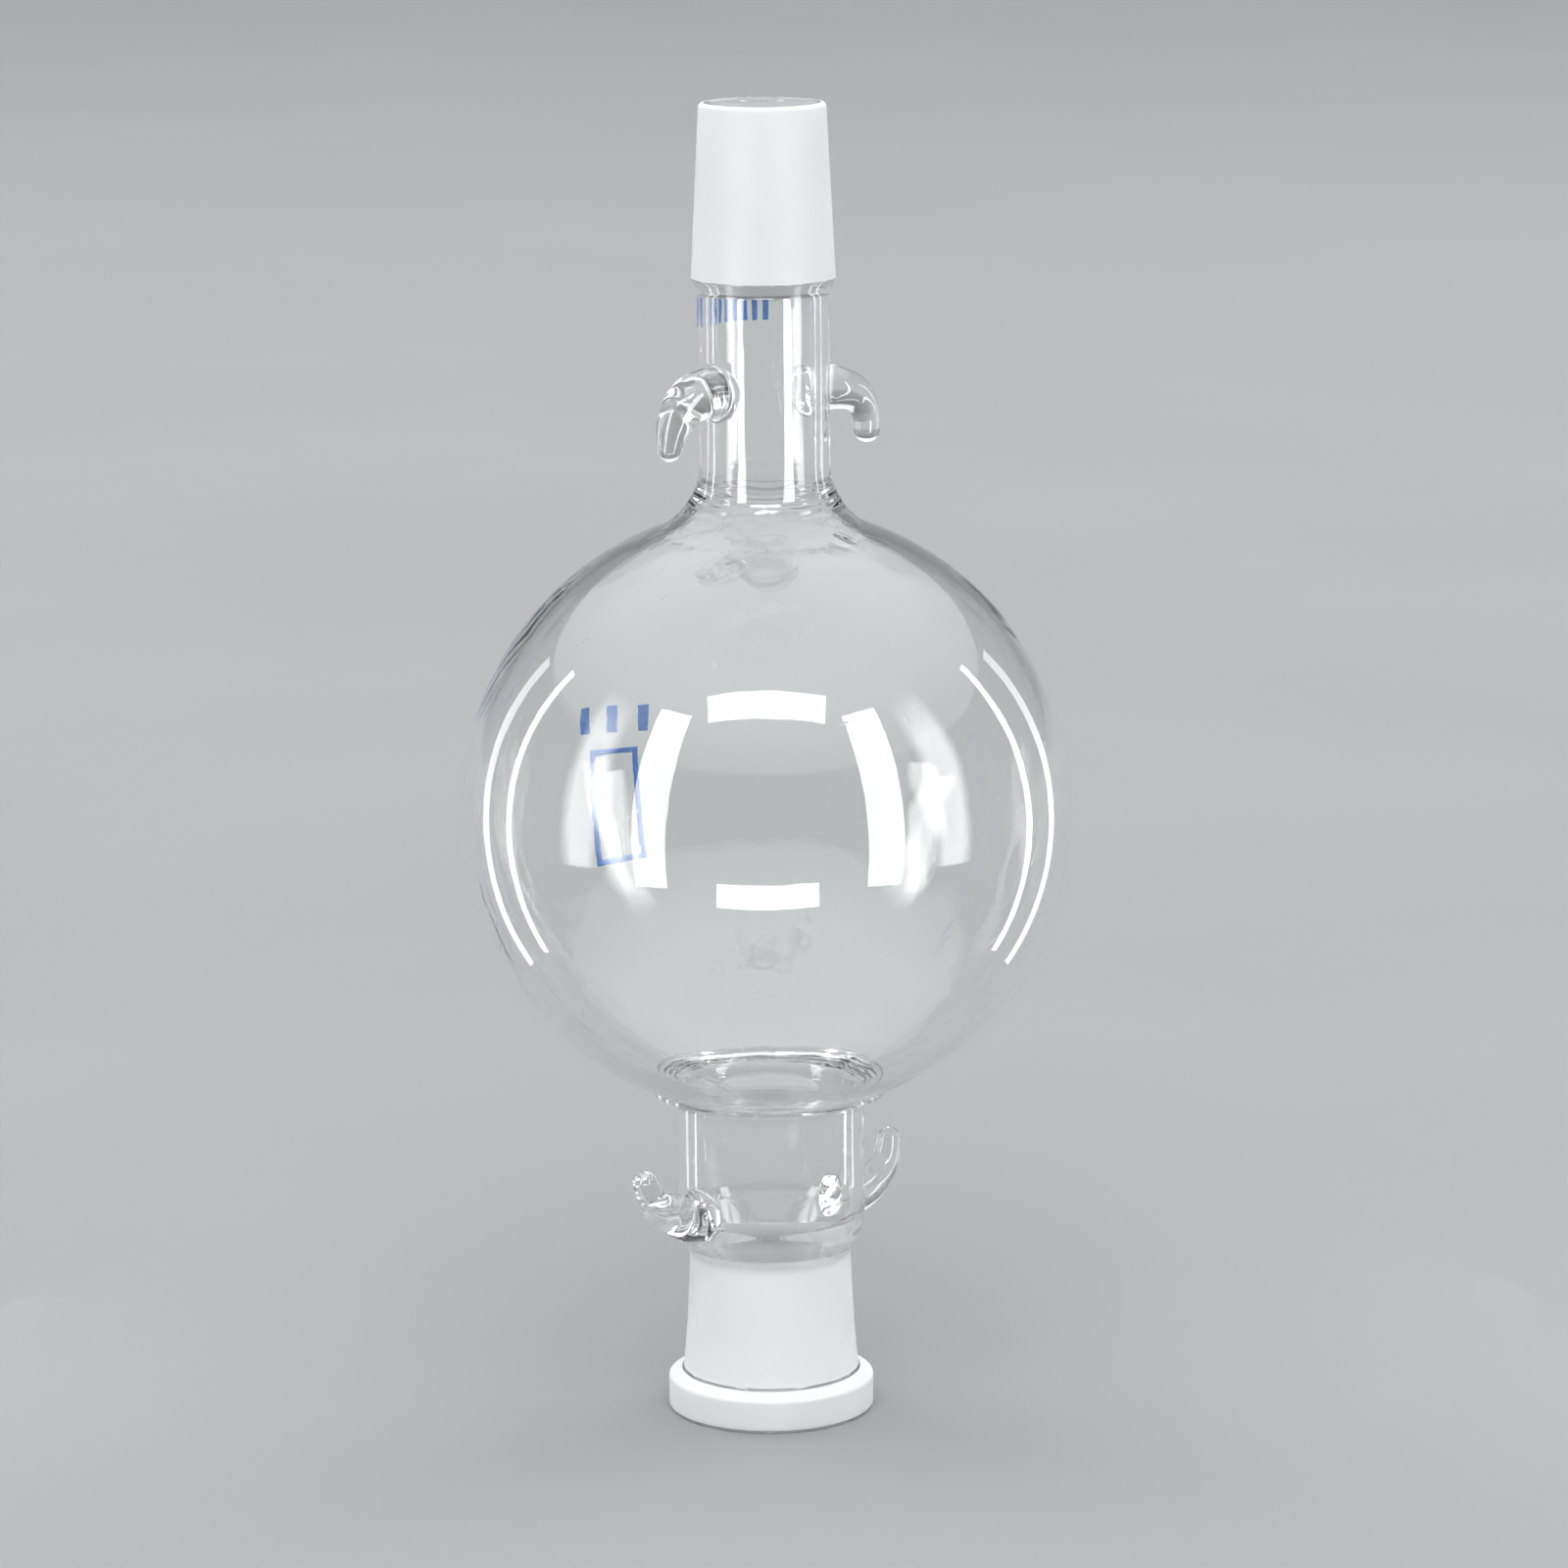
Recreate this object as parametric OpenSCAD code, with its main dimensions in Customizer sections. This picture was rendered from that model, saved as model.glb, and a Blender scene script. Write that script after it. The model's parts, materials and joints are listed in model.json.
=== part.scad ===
// Solvent reservoir bulb: a round glass bulb with a ground cone on top and a ground
// socket underneath, standing on the flat face of the socket's rim.
// Units are millimetres, +Z is up, and the origin is the centre of that flat face.
// Both pairs of glass hooks lie in the XZ plane, and the enamel marks face +Y.

/* [Ground joints] */
// Diameter of both ground tapers at their wide end
joint_d = 24; // [23.6:0.1:24.4]
// Length of both ground tapers
joint_len = 29; // [27:0.5:30]

/* [Glass] */
// Wall thickness of the bulb, the neck and the socket tube
wall = 2; // [1.7:0.1:2.3]

/* [Bulb] */
// Outer diameter of the bulb
bulb_d = 103; // [98:0.5:108]
// Height of the bulb's centre
bulb_z = 104.4; // [102:0.1:107]

/* [Neck] */
// Outer diameter of the neck tube
neck_d = 21.9; // [21.4:0.1:22.3]
// Height of the cone's wide end
cone_z = 194.5; // [193:0.5:198]
// Radius of the flare that blends the neck into the bulb
flare_r = 12; // [9:0.5:13]

/* [Socket] */
// Outer diameter of the tube between the bulb and the socket
tube_d = 32.4; // [31.4:0.1:33.4]
// Outer diameter of the socket at its waist, just below the shoulder
waist_d = 27.4; // [27:0.1:28]
// Outer diameter of the socket halfway up
socket_mid_d = 28.6; // [28.2:0.1:29]
// Outer diameter of the socket where it meets the rim
socket_wide_d = 30.2; // [29.6:0.1:31]
// Outer diameter of the rim
rim_d = 35.1; // [33.5:0.1:36.5]
// Height of the rim's straight side
rim_side_h = 5.6; // [4.5:0.1:6.5]
// Height of the shoulder between the socket and its tube
shoulder_h = 4.6; // [3.5:0.1:6]

/* [Hooks] */
// Radius of a hook where it is fused to its tube
hook_root_r = 4.1; // [3.4:0.1:4.4]
// Radius of a hook at its tip
hook_tip_r = 2.4; // [2:0.1:2.8]
// Height of the left neck hook's root
neck_hook_left_z = 175.8; // [174:0.1:180]
// Height of the right neck hook's root
neck_hook_right_z = 174.8; // [174:0.1:180]
// Height of the left socket hook's root
socket_hook_left_z = 36.6; // [36:0.1:40]
// Height of the right socket hook's root
socket_hook_right_z = 34; // [34:0.1:40]

/* [Enamel marks] */
// Thickness of the baked enamel
enamel_t = 0.1; // [0.06:0.01:0.2]
// Height of the neck's row of bars
neck_mark_z = 188.8; // [184:0.1:189]

/* [Hidden] */
$fn = 96;
eps = 0.01;

// A ground taper loses 1 mm of diameter in every 10 mm of length.
taper = 1 / 20;
joint_r = joint_d / 2;

bulb_r = bulb_d / 2;
neck_r = neck_d / 2;
neck_bore_r = neck_r - wall;
tube_r = tube_d / 2;
tube_bore_r = tube_r - wall;

// The flare is an arc that is tangent to both the neck and the bulb.
flare_centre_r = neck_r + flare_r;
flare_centre_z = bulb_z + sqrt(pow(bulb_r + flare_r, 2) - pow(flare_centre_r, 2));
flare_angle = asin(flare_centre_r / (bulb_r + flare_r));

// The lower seal takes the bulb's wall from this angle down to the tube.
seal_angle = 27;
seal_bead_r = 0.75;
seal_bead_centre_r = tube_r + 3.2;
seal_bead_z = bulb_z - sqrt(pow(bulb_r, 2) - pow(seal_bead_centre_r, 2)) - 0.4;
seal_z = bulb_z - sqrt(pow(bulb_r, 2) - pow(tube_r, 2)) - 1.6;

shoulder_z = joint_len;
shoulder_foot_r = waist_d / 2 + 0.6;
waist_z = shoulder_z - 1.7;
tube_z = shoulder_z + shoulder_h;
rim_bevel_h = 1.3;
rim_h = rim_side_h + rim_bevel_h;
rim_edge_r = 0.5;

cone_tip_r = joint_r - joint_len * taper;
cone_edge_r = 0.8;
cone_step_h = 2.2;

hook_sides = 20;
tip_steps = 5;

glass_tint = [0.86, 0.92, 0.94, 0.35];
ground_tint = [0.93, 0.94, 0.95];
enamel_tint = [0.10, 0.36, 0.80];

// Points of an arc about a centre, from one angle to another.
function arc(centre, r, from, to, steps = 8) =
    [for (i = [0:steps])
        let (a = from + (to - from) * i / steps)
        centre + r * [cos(a), sin(a)]];

// Flat outline of a curved wall: part of a ring about a centre, between two angles.
module curved_wall(centre, outer_r, inner_r, from, to) {
    reach = outer_r * 1.5;
    translate(centre)
        intersection() {
            difference() {
                circle(r = outer_r);
                circle(r = inner_r);
            }
            polygon([[0, 0], reach * [cos(from), sin(from)], reach * [cos(to), sin(to)]]);
        }
}

// Straight glass tube standing on the given height.
module tube(z, height, outer_r, inner_r) {
    translate([0, 0, z])
        difference() {
            cylinder(r = outer_r, h = height);
            translate([0, 0, -eps]) cylinder(r = inner_r, h = height + 2 * eps);
        }
}

// The space that the socket's ground taper leaves for a mating cone.
module socket_taper() {
    translate([0, 0, -1])
        cylinder(r1 = joint_r + taper, r2 = joint_r - (joint_len + 1) * taper, h = joint_len + 2);
}

// Ground cone with a fire-polished tip. Its bore carries on from the neck.
module ground_cone() {
    top = cone_z + joint_len;
    color(ground_tint)
        rotate_extrude()
            polygon(concat(
                [[neck_bore_r, cone_z], [joint_r, cone_z]],
                arc([cone_tip_r - cone_edge_r, top - cone_edge_r], cone_edge_r, 0, 90),
                [[neck_bore_r, top]]
            ));
}

// Clear neck with the short step that widens to the cone.
module neck_tube() {
    step_z = cone_z - cone_step_h;
    color(glass_tint)
        difference() {
            union() {
                translate([0, 0, flare_centre_z]) cylinder(r = neck_r, h = step_z - flare_centre_z);
                translate([0, 0, step_z]) cylinder(r1 = neck_r, r2 = joint_r, h = cone_step_h);
            }
            translate([0, 0, flare_centre_z - 1]) cylinder(r = neck_bore_r, h = cone_z - flare_centre_z + 2);
        }
}

// Flared seal between the neck and the bulb.
module upper_seal() {
    color(glass_tint)
        rotate_extrude()
            curved_wall([flare_centre_r, flare_centre_z], flare_r + wall, flare_r, 180, 270 - flare_angle);
}

// Round bulb, open at both poles.
module bulb() {
    color(glass_tint)
        rotate_extrude()
            translate([0, bulb_z])
                intersection() {
                    difference() {
                        circle(r = bulb_r);
                        circle(r = bulb_r - wall);
                    }
                    polygon([
                        [0, 0],
                        bulb_d * [sin(seal_angle), -cos(seal_angle)],
                        [bulb_d, -bulb_d],
                        [bulb_d, bulb_d],
                        bulb_d * [sin(flare_angle), cos(flare_angle)]
                    ]);
                }
}

// Lower seal: the bulb's wall turns down into the tube, with a bead of glass around it.
module lower_seal() {
    tube_angle = acos(tube_r / bulb_r);
    color(glass_tint)
        rotate_extrude()
            difference() {
                union() {
                    curved_wall([0, bulb_z], bulb_r, bulb_r - wall, -tube_angle - 5, seal_angle - 90);
                    translate([seal_bead_centre_r, seal_bead_z]) circle(r = seal_bead_r);
                    translate([tube_bore_r, seal_z]) square([wall, wall + 1]);
                    polygon([
                        [tube_r - 1, seal_z + 0.3], [tube_r, seal_z + 0.3],
                        [seal_bead_centre_r, seal_bead_z - 0.4], [seal_bead_centre_r, seal_bead_z + 0.4],
                        [tube_r - 1, seal_z + 2]
                    ]);
                }
                translate([0, seal_z - 1]) square([tube_bore_r, 2 * wall + 4]);
            }
}

// Clear tube that carries the lower pair of hooks.
module socket_tube() {
    color(glass_tint) tube(tube_z, seal_z - tube_z, tube_r, tube_bore_r);
}

// Shoulder that narrows from the tube to the socket.
module socket_shoulder() {
    end_r = joint_r - joint_len * taper;
    bend = 1.6;
    color(glass_tint)
        rotate_extrude()
            polygon(concat(
                [[end_r, shoulder_z], [shoulder_foot_r, shoulder_z]],
                arc([tube_r - bend, tube_z - bend * 0.6], bend, -35, 0, 5),
                [[tube_r, tube_z], [tube_bore_r, tube_z]],
                arc([tube_bore_r - bend, tube_z - bend * 0.6], bend, 0, -35, 5)
            ));
}

// Ground socket. Its inside is the ground taper, and its outside has a slight waist.
module ground_socket() {
    color(ground_tint)
        difference() {
            rotate_extrude()
                polygon([
                    [0, rim_h], [socket_wide_d / 2, rim_h], [socket_mid_d / 2, joint_len / 2],
                    [waist_d / 2, waist_z], [shoulder_foot_r, shoulder_z], [0, shoulder_z]
                ]);
            socket_taper();
        }
}

// Thick rim that the part stands on.
module socket_rim() {
    side_r = rim_d / 2;
    color(glass_tint)
        difference() {
            rotate_extrude()
                polygon(concat(
                    [[0, 0]],
                    arc([side_r - rim_edge_r, rim_edge_r], rim_edge_r, -90, 0, 4),
                    [[side_r, rim_side_h], [socket_wide_d / 2, rim_h], [0, rim_h]]
                ));
            socket_taper();
        }
}

// Centre line of a hook as points of [outward, upward, heading, radius].
// It starts inside the tube's wall, runs straight out and then bends upward about bend_r.
function hook_path(surface_r, stem, bend_r, bend_angle, tail) =
    let (
        foot_r = hook_root_r + 0.5,
        bend_steps = 10,
        bend_x = surface_r + stem,
        end = [bend_x + bend_r * sin(bend_angle), bend_r * (1 - cos(bend_angle))],
        ahead = [cos(bend_angle), sin(bend_angle)]
    )
    concat(
        [[surface_r - 1.2, 0, 0, foot_r], [surface_r + 0.2, 0, 0, foot_r]],
        [for (i = [0:bend_steps])
            let (part = i / bend_steps, a = bend_angle * part)
            [bend_x + bend_r * sin(a), bend_r * (1 - cos(a)), a,
                hook_root_r + (hook_tip_r - hook_root_r) * pow(part, 1.3)]],
        [for (i = [0:tip_steps - 1])
            let (a = 90 * i / tip_steps, reach = tail + hook_tip_r * sin(a))
            [end[0] + reach * ahead[0], end[1] + reach * ahead[1], bend_angle, hook_tip_r * cos(a)]]
    );

// One round section of a hook, square to its centre line.
function hook_ring(point) =
    let (out = point[0], up = point[1], heading = point[2], radius = point[3])
    [for (i = [0:hook_sides - 1])
        let (a = 360 * i / hook_sides)
        [out - radius * cos(a) * sin(heading), radius * sin(a), up + radius * cos(a) * cos(heading)]];

// Solid swept along a centre line, with flat ends.
module swept_hook(path) {
    last = len(path) - 1;
    points = [for (point = path) each hook_ring(point)];
    ends = [
        [for (i = [0:hook_sides - 1]) i],
        [for (i = [hook_sides - 1:-1:0]) last * hook_sides + i]
    ];
    sides = [
        for (ring = [0:last - 1], i = [0:hook_sides - 1])
            let (next = (i + 1) % hook_sides, low = ring * hook_sides, high = low + hook_sides)
            [low + i, high + i, high + next, low + next]
    ];
    polyhedron(points = points, faces = concat(ends, sides), convexity = 4);
}

// Hook on the -X side (side = -1) or the +X side (side = 1) of a tube, pointing up or down.
module hook(side, z, up, surface_r, stem, bend_r, bend_angle, tail) {
    path = hook_path(surface_r, stem, bend_r, bend_angle, tail);
    color(glass_tint)
        difference() {
            translate([0, 0, z])
                rotate([up > 0 ? 0 : 180, 0, side > 0 ? 0 : 180])
                    swept_hook(path);
            translate([0, 0, z - 20]) cylinder(r = surface_r, h = 40);
        }
}

// Hook on the neck, with its tip down.
module neck_hook(side, z, stem) {
    hook(side, z, up = -1, surface_r = neck_r, stem = stem, bend_r = 7, bend_angle = 80, tail = 2);
}

// Hook on the socket's tube, with its tip up.
module socket_hook(side, z, stem, tail) {
    hook(side, z, up = 1, surface_r = tube_r, stem = stem, bend_r = 9, bend_angle = 76, tail = tail);
}

// Row of short upright bars around the neck.
module neck_mark() {
    bar = [1.1, 5];
    bars = 9;
    pitch = 11;
    color(enamel_tint)
        for (i = [0:bars - 1])
            rotate([0, 0, 90 + (i - (bars - 1) / 2) * pitch])
                intersection() {
                    tube(neck_mark_z - bar[1], 2 * bar[1], neck_r + enamel_t, neck_r);
                    translate([neck_r - 1, -bar[0] / 2, neck_mark_z - bar[1] / 2]) cube([2, bar[0], bar[1]]);
                }
}

// Marking field on the bulb, baked onto its outer surface.
module bulb_mark() {
    color(enamel_tint)
        intersection() {
            difference() {
                translate([0, 0, bulb_z]) sphere(r = bulb_r + enamel_t);
                translate([0, 0, bulb_z]) sphere(r = bulb_r);
            }
            rotate([0, 0, 81])
                translate([bulb_r / 2, 0, bulb_z])
                    rotate([90, 0, 90])
                        linear_extrude(height = bulb_r) bulb_mark_outline();
        }
}

// Flat outline of the bulb's mark: three bars above an empty upright frame.
module bulb_mark_outline() {
    bar = [2, 5];
    frame = [10, 20];
    line = 1;
    for (x = [-6, 0, 6])
        translate([x - bar[0] / 2, 5]) square(bar);
    difference() {
        translate([-frame[0] / 2, -18]) square(frame);
        translate([line - frame[0] / 2, line - 18]) square([frame[0] - 2 * line, frame[1] - 2 * line]);
    }
}

ground_cone();
neck_tube();
upper_seal();
bulb();
lower_seal();
socket_tube();
socket_shoulder();
ground_socket();
socket_rim();
neck_hook(-1, neck_hook_left_z, stem = 3);  // neck_hook_left
neck_hook(1, neck_hook_right_z, stem = 5);  // neck_hook_right
socket_hook(-1, socket_hook_left_z, stem = 2.6, tail = 0.8);  // socket_hook_left
socket_hook(1, socket_hook_right_z, stem = 2.2, tail = 0.6);  // socket_hook_right
neck_mark();
bulb_mark();
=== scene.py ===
"""Looks for a solvent reservoir bulb: clear lampworked glass, two ground joints and a blue enamel print.

The glass is one closed outline turned about Z, with a little hand-made unevenness, and cut at the fused seams
into one piece for each CAD node. The hooks grow out of round patches in the walls of the tubes.
Lengths are millimetres until a mesh is made. Meshes, lights and the camera are in metres.
"""

import json
import math

import bpy
import numpy as np
from mathutils import Matrix, Vector, noise

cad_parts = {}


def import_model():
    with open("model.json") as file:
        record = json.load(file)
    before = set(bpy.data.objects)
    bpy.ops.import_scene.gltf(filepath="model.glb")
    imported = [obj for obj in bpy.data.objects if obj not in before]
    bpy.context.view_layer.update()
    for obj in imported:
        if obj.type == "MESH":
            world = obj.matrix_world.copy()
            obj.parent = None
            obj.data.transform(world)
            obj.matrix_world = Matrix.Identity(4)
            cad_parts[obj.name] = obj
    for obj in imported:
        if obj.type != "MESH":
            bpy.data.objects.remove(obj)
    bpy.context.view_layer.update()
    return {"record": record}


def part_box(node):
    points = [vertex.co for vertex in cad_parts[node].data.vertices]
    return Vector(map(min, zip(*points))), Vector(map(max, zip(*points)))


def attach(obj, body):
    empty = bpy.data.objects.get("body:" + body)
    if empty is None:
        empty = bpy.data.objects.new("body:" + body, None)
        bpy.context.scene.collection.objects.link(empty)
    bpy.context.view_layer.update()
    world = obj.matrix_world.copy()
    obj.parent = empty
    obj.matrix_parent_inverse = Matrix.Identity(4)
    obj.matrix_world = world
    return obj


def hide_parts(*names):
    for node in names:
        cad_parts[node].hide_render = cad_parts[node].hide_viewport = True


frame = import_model()

MM = 0.001
SEGMENTS = 240


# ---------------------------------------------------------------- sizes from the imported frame


def low(node, axis):
    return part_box(node)[0][axis] / MM


def high(node, axis):
    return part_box(node)[1][axis] / MM


mounts = {mount["name"]: mount for mount in frame["record"]["mounts"]}

WALL = 2.0
TAPER = 1 / 20
SEAL_ANGLE = 27

rim_r = high("socket_rim", 0)
rim_h = high("socket_rim", 2)
socket_r = high("ground_socket", 0)
ground_top = high("ground_socket", 2)
tube_r = high("socket_tube", 0)
seal_z = high("socket_tube", 2)
bulb_r = high("bulb", 0)
bulb_z = low("bulb", 2) + bulb_r * math.cos(math.radians(SEAL_ANGLE))
neck_z = high("upper_seal", 2)
bore_r = mounts["delivery_bore"]["dims"]["r_mm"]
neck_r = bore_r + WALL
joint_r = high("ground_cone", 0)
cone_z = low("ground_cone", 2)
top_z = high("ground_cone", 2)
tip_r = joint_r - (top_z - cone_z) * TAPER

# The flare above the bulb is an arc tangent to the bulb and to the neck.
flare_r = (bulb_r**2 - neck_r**2 - (neck_z - bulb_z) ** 2) / (2 * (neck_r - bulb_r))
flare_centre = (neck_r + flare_r, neck_z)
flare_angle = math.degrees(math.asin((neck_r + flare_r) / (bulb_r + flare_r)))


# ---------------------------------------------------------------- the outline of the glass


def line(start, end, step):
    """Points from start to end, without the end."""
    count = max(1, round(math.dist(start, end) / step))
    return [tuple(a + (b - a) * i / count for a, b in zip(start, end)) for i in range(count)]


def arc(centre, radius, start, end, step):
    """Points on an arc between two angles in degrees, both ends included."""
    count = max(4, round(abs(math.radians(end - start)) * radius / step))
    angles = [math.radians(start + (end - start) * i / count) for i in range(count + 1)]
    return [(centre[0] + radius * math.cos(a), centre[1] + radius * math.sin(a)) for a in angles]


def rounded(corners, step):
    """Path through (r, z, rounding radius) corners, with no gap much longer than the step."""
    path = [corners[0][:2]]
    for before, corner, after in zip(corners, corners[1:], corners[2:]):
        here = Vector(corner[:2])
        back = (Vector(before[:2]) - here).normalized()
        ahead = (Vector(after[:2]) - here).normalized()
        half = back.angle(ahead) / 2
        centre = here + (back + ahead).normalized() * corner[2] / math.sin(half)
        first = here + back * corner[2] / math.tan(half) - centre
        turn = (math.pi - 2 * half) * math.copysign(1, back.y * ahead.x - back.x * ahead.y)
        steps = max(2, math.ceil(abs(turn) / math.radians(14)))
        for i in range(steps + 1):
            path.append(tuple(centre + Matrix.Rotation(turn * i / steps, 2) @ first))
    path.append(corners[-1][:2])
    return [point for a, b in zip(path, path[1:]) for point in line(a, b, step)] + [path[-1]]


def split(path, levels):
    """The path cut into sections where it first passes each height. Neighbours share the point at the cut."""
    sections = []
    rising = path[-1][1] > path[0][1]
    for level in levels:
        cut = next(i for i, p in enumerate(path) if i and (p[1] > level if rising else p[1] < level))
        (r0, z0), (r1, z1) = path[cut - 1], path[cut]
        point = (r0 + (r1 - r0) * (level - z0) / (z1 - z0), level)
        head = [p for p in path[:cut] if math.dist(p, point) > SEAM_GAP] + [point]
        sections.append(head)
        path = [point] + [p for p in path[cut:] if math.dist(p, point) > SEAM_GAP]
    return sections + [path]


PIECES = [
    "socket_rim", "ground_socket", "socket_shoulder", "socket_tube", "lower_seal",
    "bulb", "upper_seal", "neck_tube", "ground_cone",
]

# Heights of the seams between the pieces of the two tubes. The lower hooks reach below their tube, so the
# piece that carries them takes in most of the shoulder.
LOW_SEAMS = [rim_h + 1, ground_top - 2.6, ground_top - 0.8]
HIGH_SEAM = cone_z + 0.4

# The bead of glass at the lower seal.
LIP_R = 20.0
LIP_Z = 56.2

# The outside of the socket: the top of its shoulder, its waist, and the height below which it leans outward
# a little more than its bore does.
SHOULDER_TOP = 32.9
WAIST_R = 13.7
WAIST_Z = 27.2
SOCKET_BEND_Z = 14.5

# Radius of the inner fillet where the bulb runs into the socket tube.
SEAL_FILLET_R = 6

# Closest that two points of the outline come at a seam.
SEAM_GAP = 0.05


def outer_sections():
    """Outside of the glass, from the foot of the rim to the tip of the cone."""
    lip_angle = math.degrees(math.asin(LIP_R / bulb_r))
    above_lip = arc((0, bulb_z), bulb_r, lip_angle - 90, SEAL_ANGLE - 90, 0.5)
    lower = rounded(
        [
            (joint_r + 0.5, 0, 0),
            (rim_r, 0, 0.7),
            (rim_r, rim_h - 1.3, 0.6),
            (socket_r - 0.1, rim_h, 0.9),
            (WAIST_R + (WAIST_Z - SOCKET_BEND_Z) * TAPER, SOCKET_BEND_Z, 20),
            (WAIST_R, WAIST_Z, 2.5),
            (tube_r, SHOULDER_TOP, 3),
            (tube_r, seal_z, 0),
        ],
        0.5,
    )
    seal = rounded(
        [
            (tube_r, seal_z, 0),
            (tube_r, LIP_Z - 0.7, 1.2),
            (LIP_R, LIP_Z - 0.35, 0.33),
            (*above_lip[0], 0.3),
            (*above_lip[2], 0),
        ],
        0.16,
    )
    seal += above_lip[3:]
    bulb = arc((0, bulb_z), bulb_r, SEAL_ANGLE - 90, 90 - flare_angle, 1.2)
    flare = arc(flare_centre, flare_r, 270 - flare_angle, 180, 0.5)
    upper = rounded(
        [
            (neck_r, neck_z, 0),
            (neck_r, cone_z - 2.2, 1.5),
            (joint_r, cone_z, 0.5),
            (tip_r, top_z, 0.8),
            ((tip_r + bore_r) / 2, top_z, 0),
        ],
        0.5,
    )
    return split(lower, LOW_SEAMS) + [seal, bulb, flare] + split(upper, [HIGH_SEAM])


def inner_sections():
    """Inside of the glass, from the tip of the cone down to the mouth of the socket."""
    inner_r = bulb_r - WALL
    tube_bore_r = tube_r - WALL
    upper = rounded([((tip_r + bore_r) / 2, top_z, 0), (bore_r, top_z, 0.6), (bore_r, neck_z, 0)], 0.5)
    cone, neck = split(upper, [HIGH_SEAM])
    flare = arc(flare_centre, flare_r + WALL, 180, 270 - flare_angle, 0.2)
    bulb = arc((0, bulb_z), inner_r, 90 - flare_angle, SEAL_ANGLE - 90, 1.2)
    fillet_z = bulb_z - math.sqrt((inner_r + SEAL_FILLET_R) ** 2 - (tube_bore_r + SEAL_FILLET_R) ** 2)
    fillet_angle = math.degrees(math.asin((tube_bore_r + SEAL_FILLET_R) / (inner_r + SEAL_FILLET_R)))
    seal = arc((0, bulb_z), inner_r, SEAL_ANGLE - 90, fillet_angle - 90, 0.5)[:-1]
    seal += arc((tube_bore_r + SEAL_FILLET_R, fillet_z), SEAL_FILLET_R, 90 + fillet_angle, 180, 0.2)
    socket_end_r = joint_r - ground_top * TAPER
    lower = rounded(
        [
            (tube_bore_r, fillet_z, 0),
            (tube_bore_r, ground_top + 6, 4),
            (socket_end_r, ground_top, 1.5),
            (joint_r, 0, 0.4),
            (joint_r + 0.5, 0, 0),
        ],
        0.5,
    )
    return [cone, neck, flare, bulb, seal] + split(lower, LOW_SEAMS[::-1])


def closed_outline():
    """The whole outline as one loop of points, and the stretch of it that each side of each piece takes."""
    sections = list(zip(PIECES, ["outside"] * len(PIECES), outer_sections()))
    sections += zip(PIECES[::-1], ["inside"] * len(PIECES), inner_sections())
    loop = []
    spans = {}
    for name, side, section in sections:
        start = len(loop)
        loop += section[:-1]
        spans[name, side] = range(start, len(loop) + 1)
    return np.array(loop), spans


outline, spans = closed_outline()
ROWS = len(outline)
FIRST_INSIDE = spans["ground_cone", "inside"][0]


# ---------------------------------------------------------------- hooks

# Each hook's centre line is (outward, upward, radius) from its root on the tube, and the tip is rounded off.
HOOKS = {
    "neck_hook_left": {
        "tube": "neck_tube",
        "side": -1,
        "root_z": 176.3,
        "fillet": 0.8,
        "line": [
            (0, 0, 4.3), (2.6, 0, 4.2), (5.2, -0.6, 3.9),
            (7.6, -2.3, 3.45), (9.2, -5.2, 2.8), (10.1, -8.3, 2.1),
        ],
    },
    "neck_hook_right": {
        "tube": "neck_tube",
        "side": 1,
        "root_z": 174.9,
        "fillet": 0.8,
        "line": [
            (0, 0, 3.9), (2.8, 0, 3.85), (5.5, -0.3, 3.7),
            (9.0, -1.4, 3.15), (11.3, -3.4, 2.7), (12.25, -6, 2.35), (12.25, -8, 2.3),
        ],
    },
    "socket_hook_left": {
        "tube": "socket_tube",
        "side": -1,
        "root_z": 36.6,
        "fillet": 0.7,
        "line": [
            (0, 0, 4.4), (2.2, 0.1, 4.2), (4.6, 0.9, 3.75),
            (7.4, 2.2, 3.2), (9.7, 3.9, 2.65), (12.0, 8.1, 2.1),
        ],
    },
    "socket_hook_right": {
        "tube": "socket_tube",
        "side": 1,
        "root_z": 33.8,
        "fillet": 0.6,
        "line": [
            (0, 0, 3.8), (2.6, -0.2, 3.7), (6.2, 0.6, 3.3),
            (8.9, 2.1, 2.8), (10.9, 4.4, 2.4), (11.8, 7.9, 2.1),
        ],
    },
}


def spline(points, per_span):
    """Smooth curve through the points, as a Catmull-Rom spline."""
    points = [np.array(p, float) for p in points]
    ends = [2 * points[0] - points[1]] + points + [2 * points[-1] - points[-2]]
    curve = []
    for a, b, c, d in zip(ends, ends[1:], ends[2:], ends[3:]):
        for i in range(per_span):
            t = i / per_span
            curve.append(b + 0.5 * t * (c - a + t * (2 * a - 5 * b + 4 * c - d + t * (3 * (b - c) + d - a))))
    return curve + [points[-1]]


def foot_radius(hook):
    """Radius of the hook's foot, where its fillet meets the tube."""
    return hook["line"][0][2] + hook["fillet"]


# ---------------------------------------------------------------- unevenness of hand-worked glass

# Around a hook's root the tube is true up to the first distance and fully uneven from the second.
CALM_AROUND_HOOK = (8.2, 13)

# Heights of the slow waves and of the finer ripples in the bulb.
INSIDE_WAVES = (0.26, 0.18)
OUTSIDE_WAVES = (0.12, 0.08)

# Two small drops of glass that touch, low on the front of the flare.
KNOT_R = 0.85
KNOT_HEIGHT = 0.45
KNOTS = [(1.0, -17.1, 153.6), (1.9, -17.8, 152.5)]


def smooth(value, start, end):
    """0 before start, 1 after end, and an even blend between."""
    t = min(1, max(0, (value - start) / (end - start)))
    return t * t * (3 - 2 * t)


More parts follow.
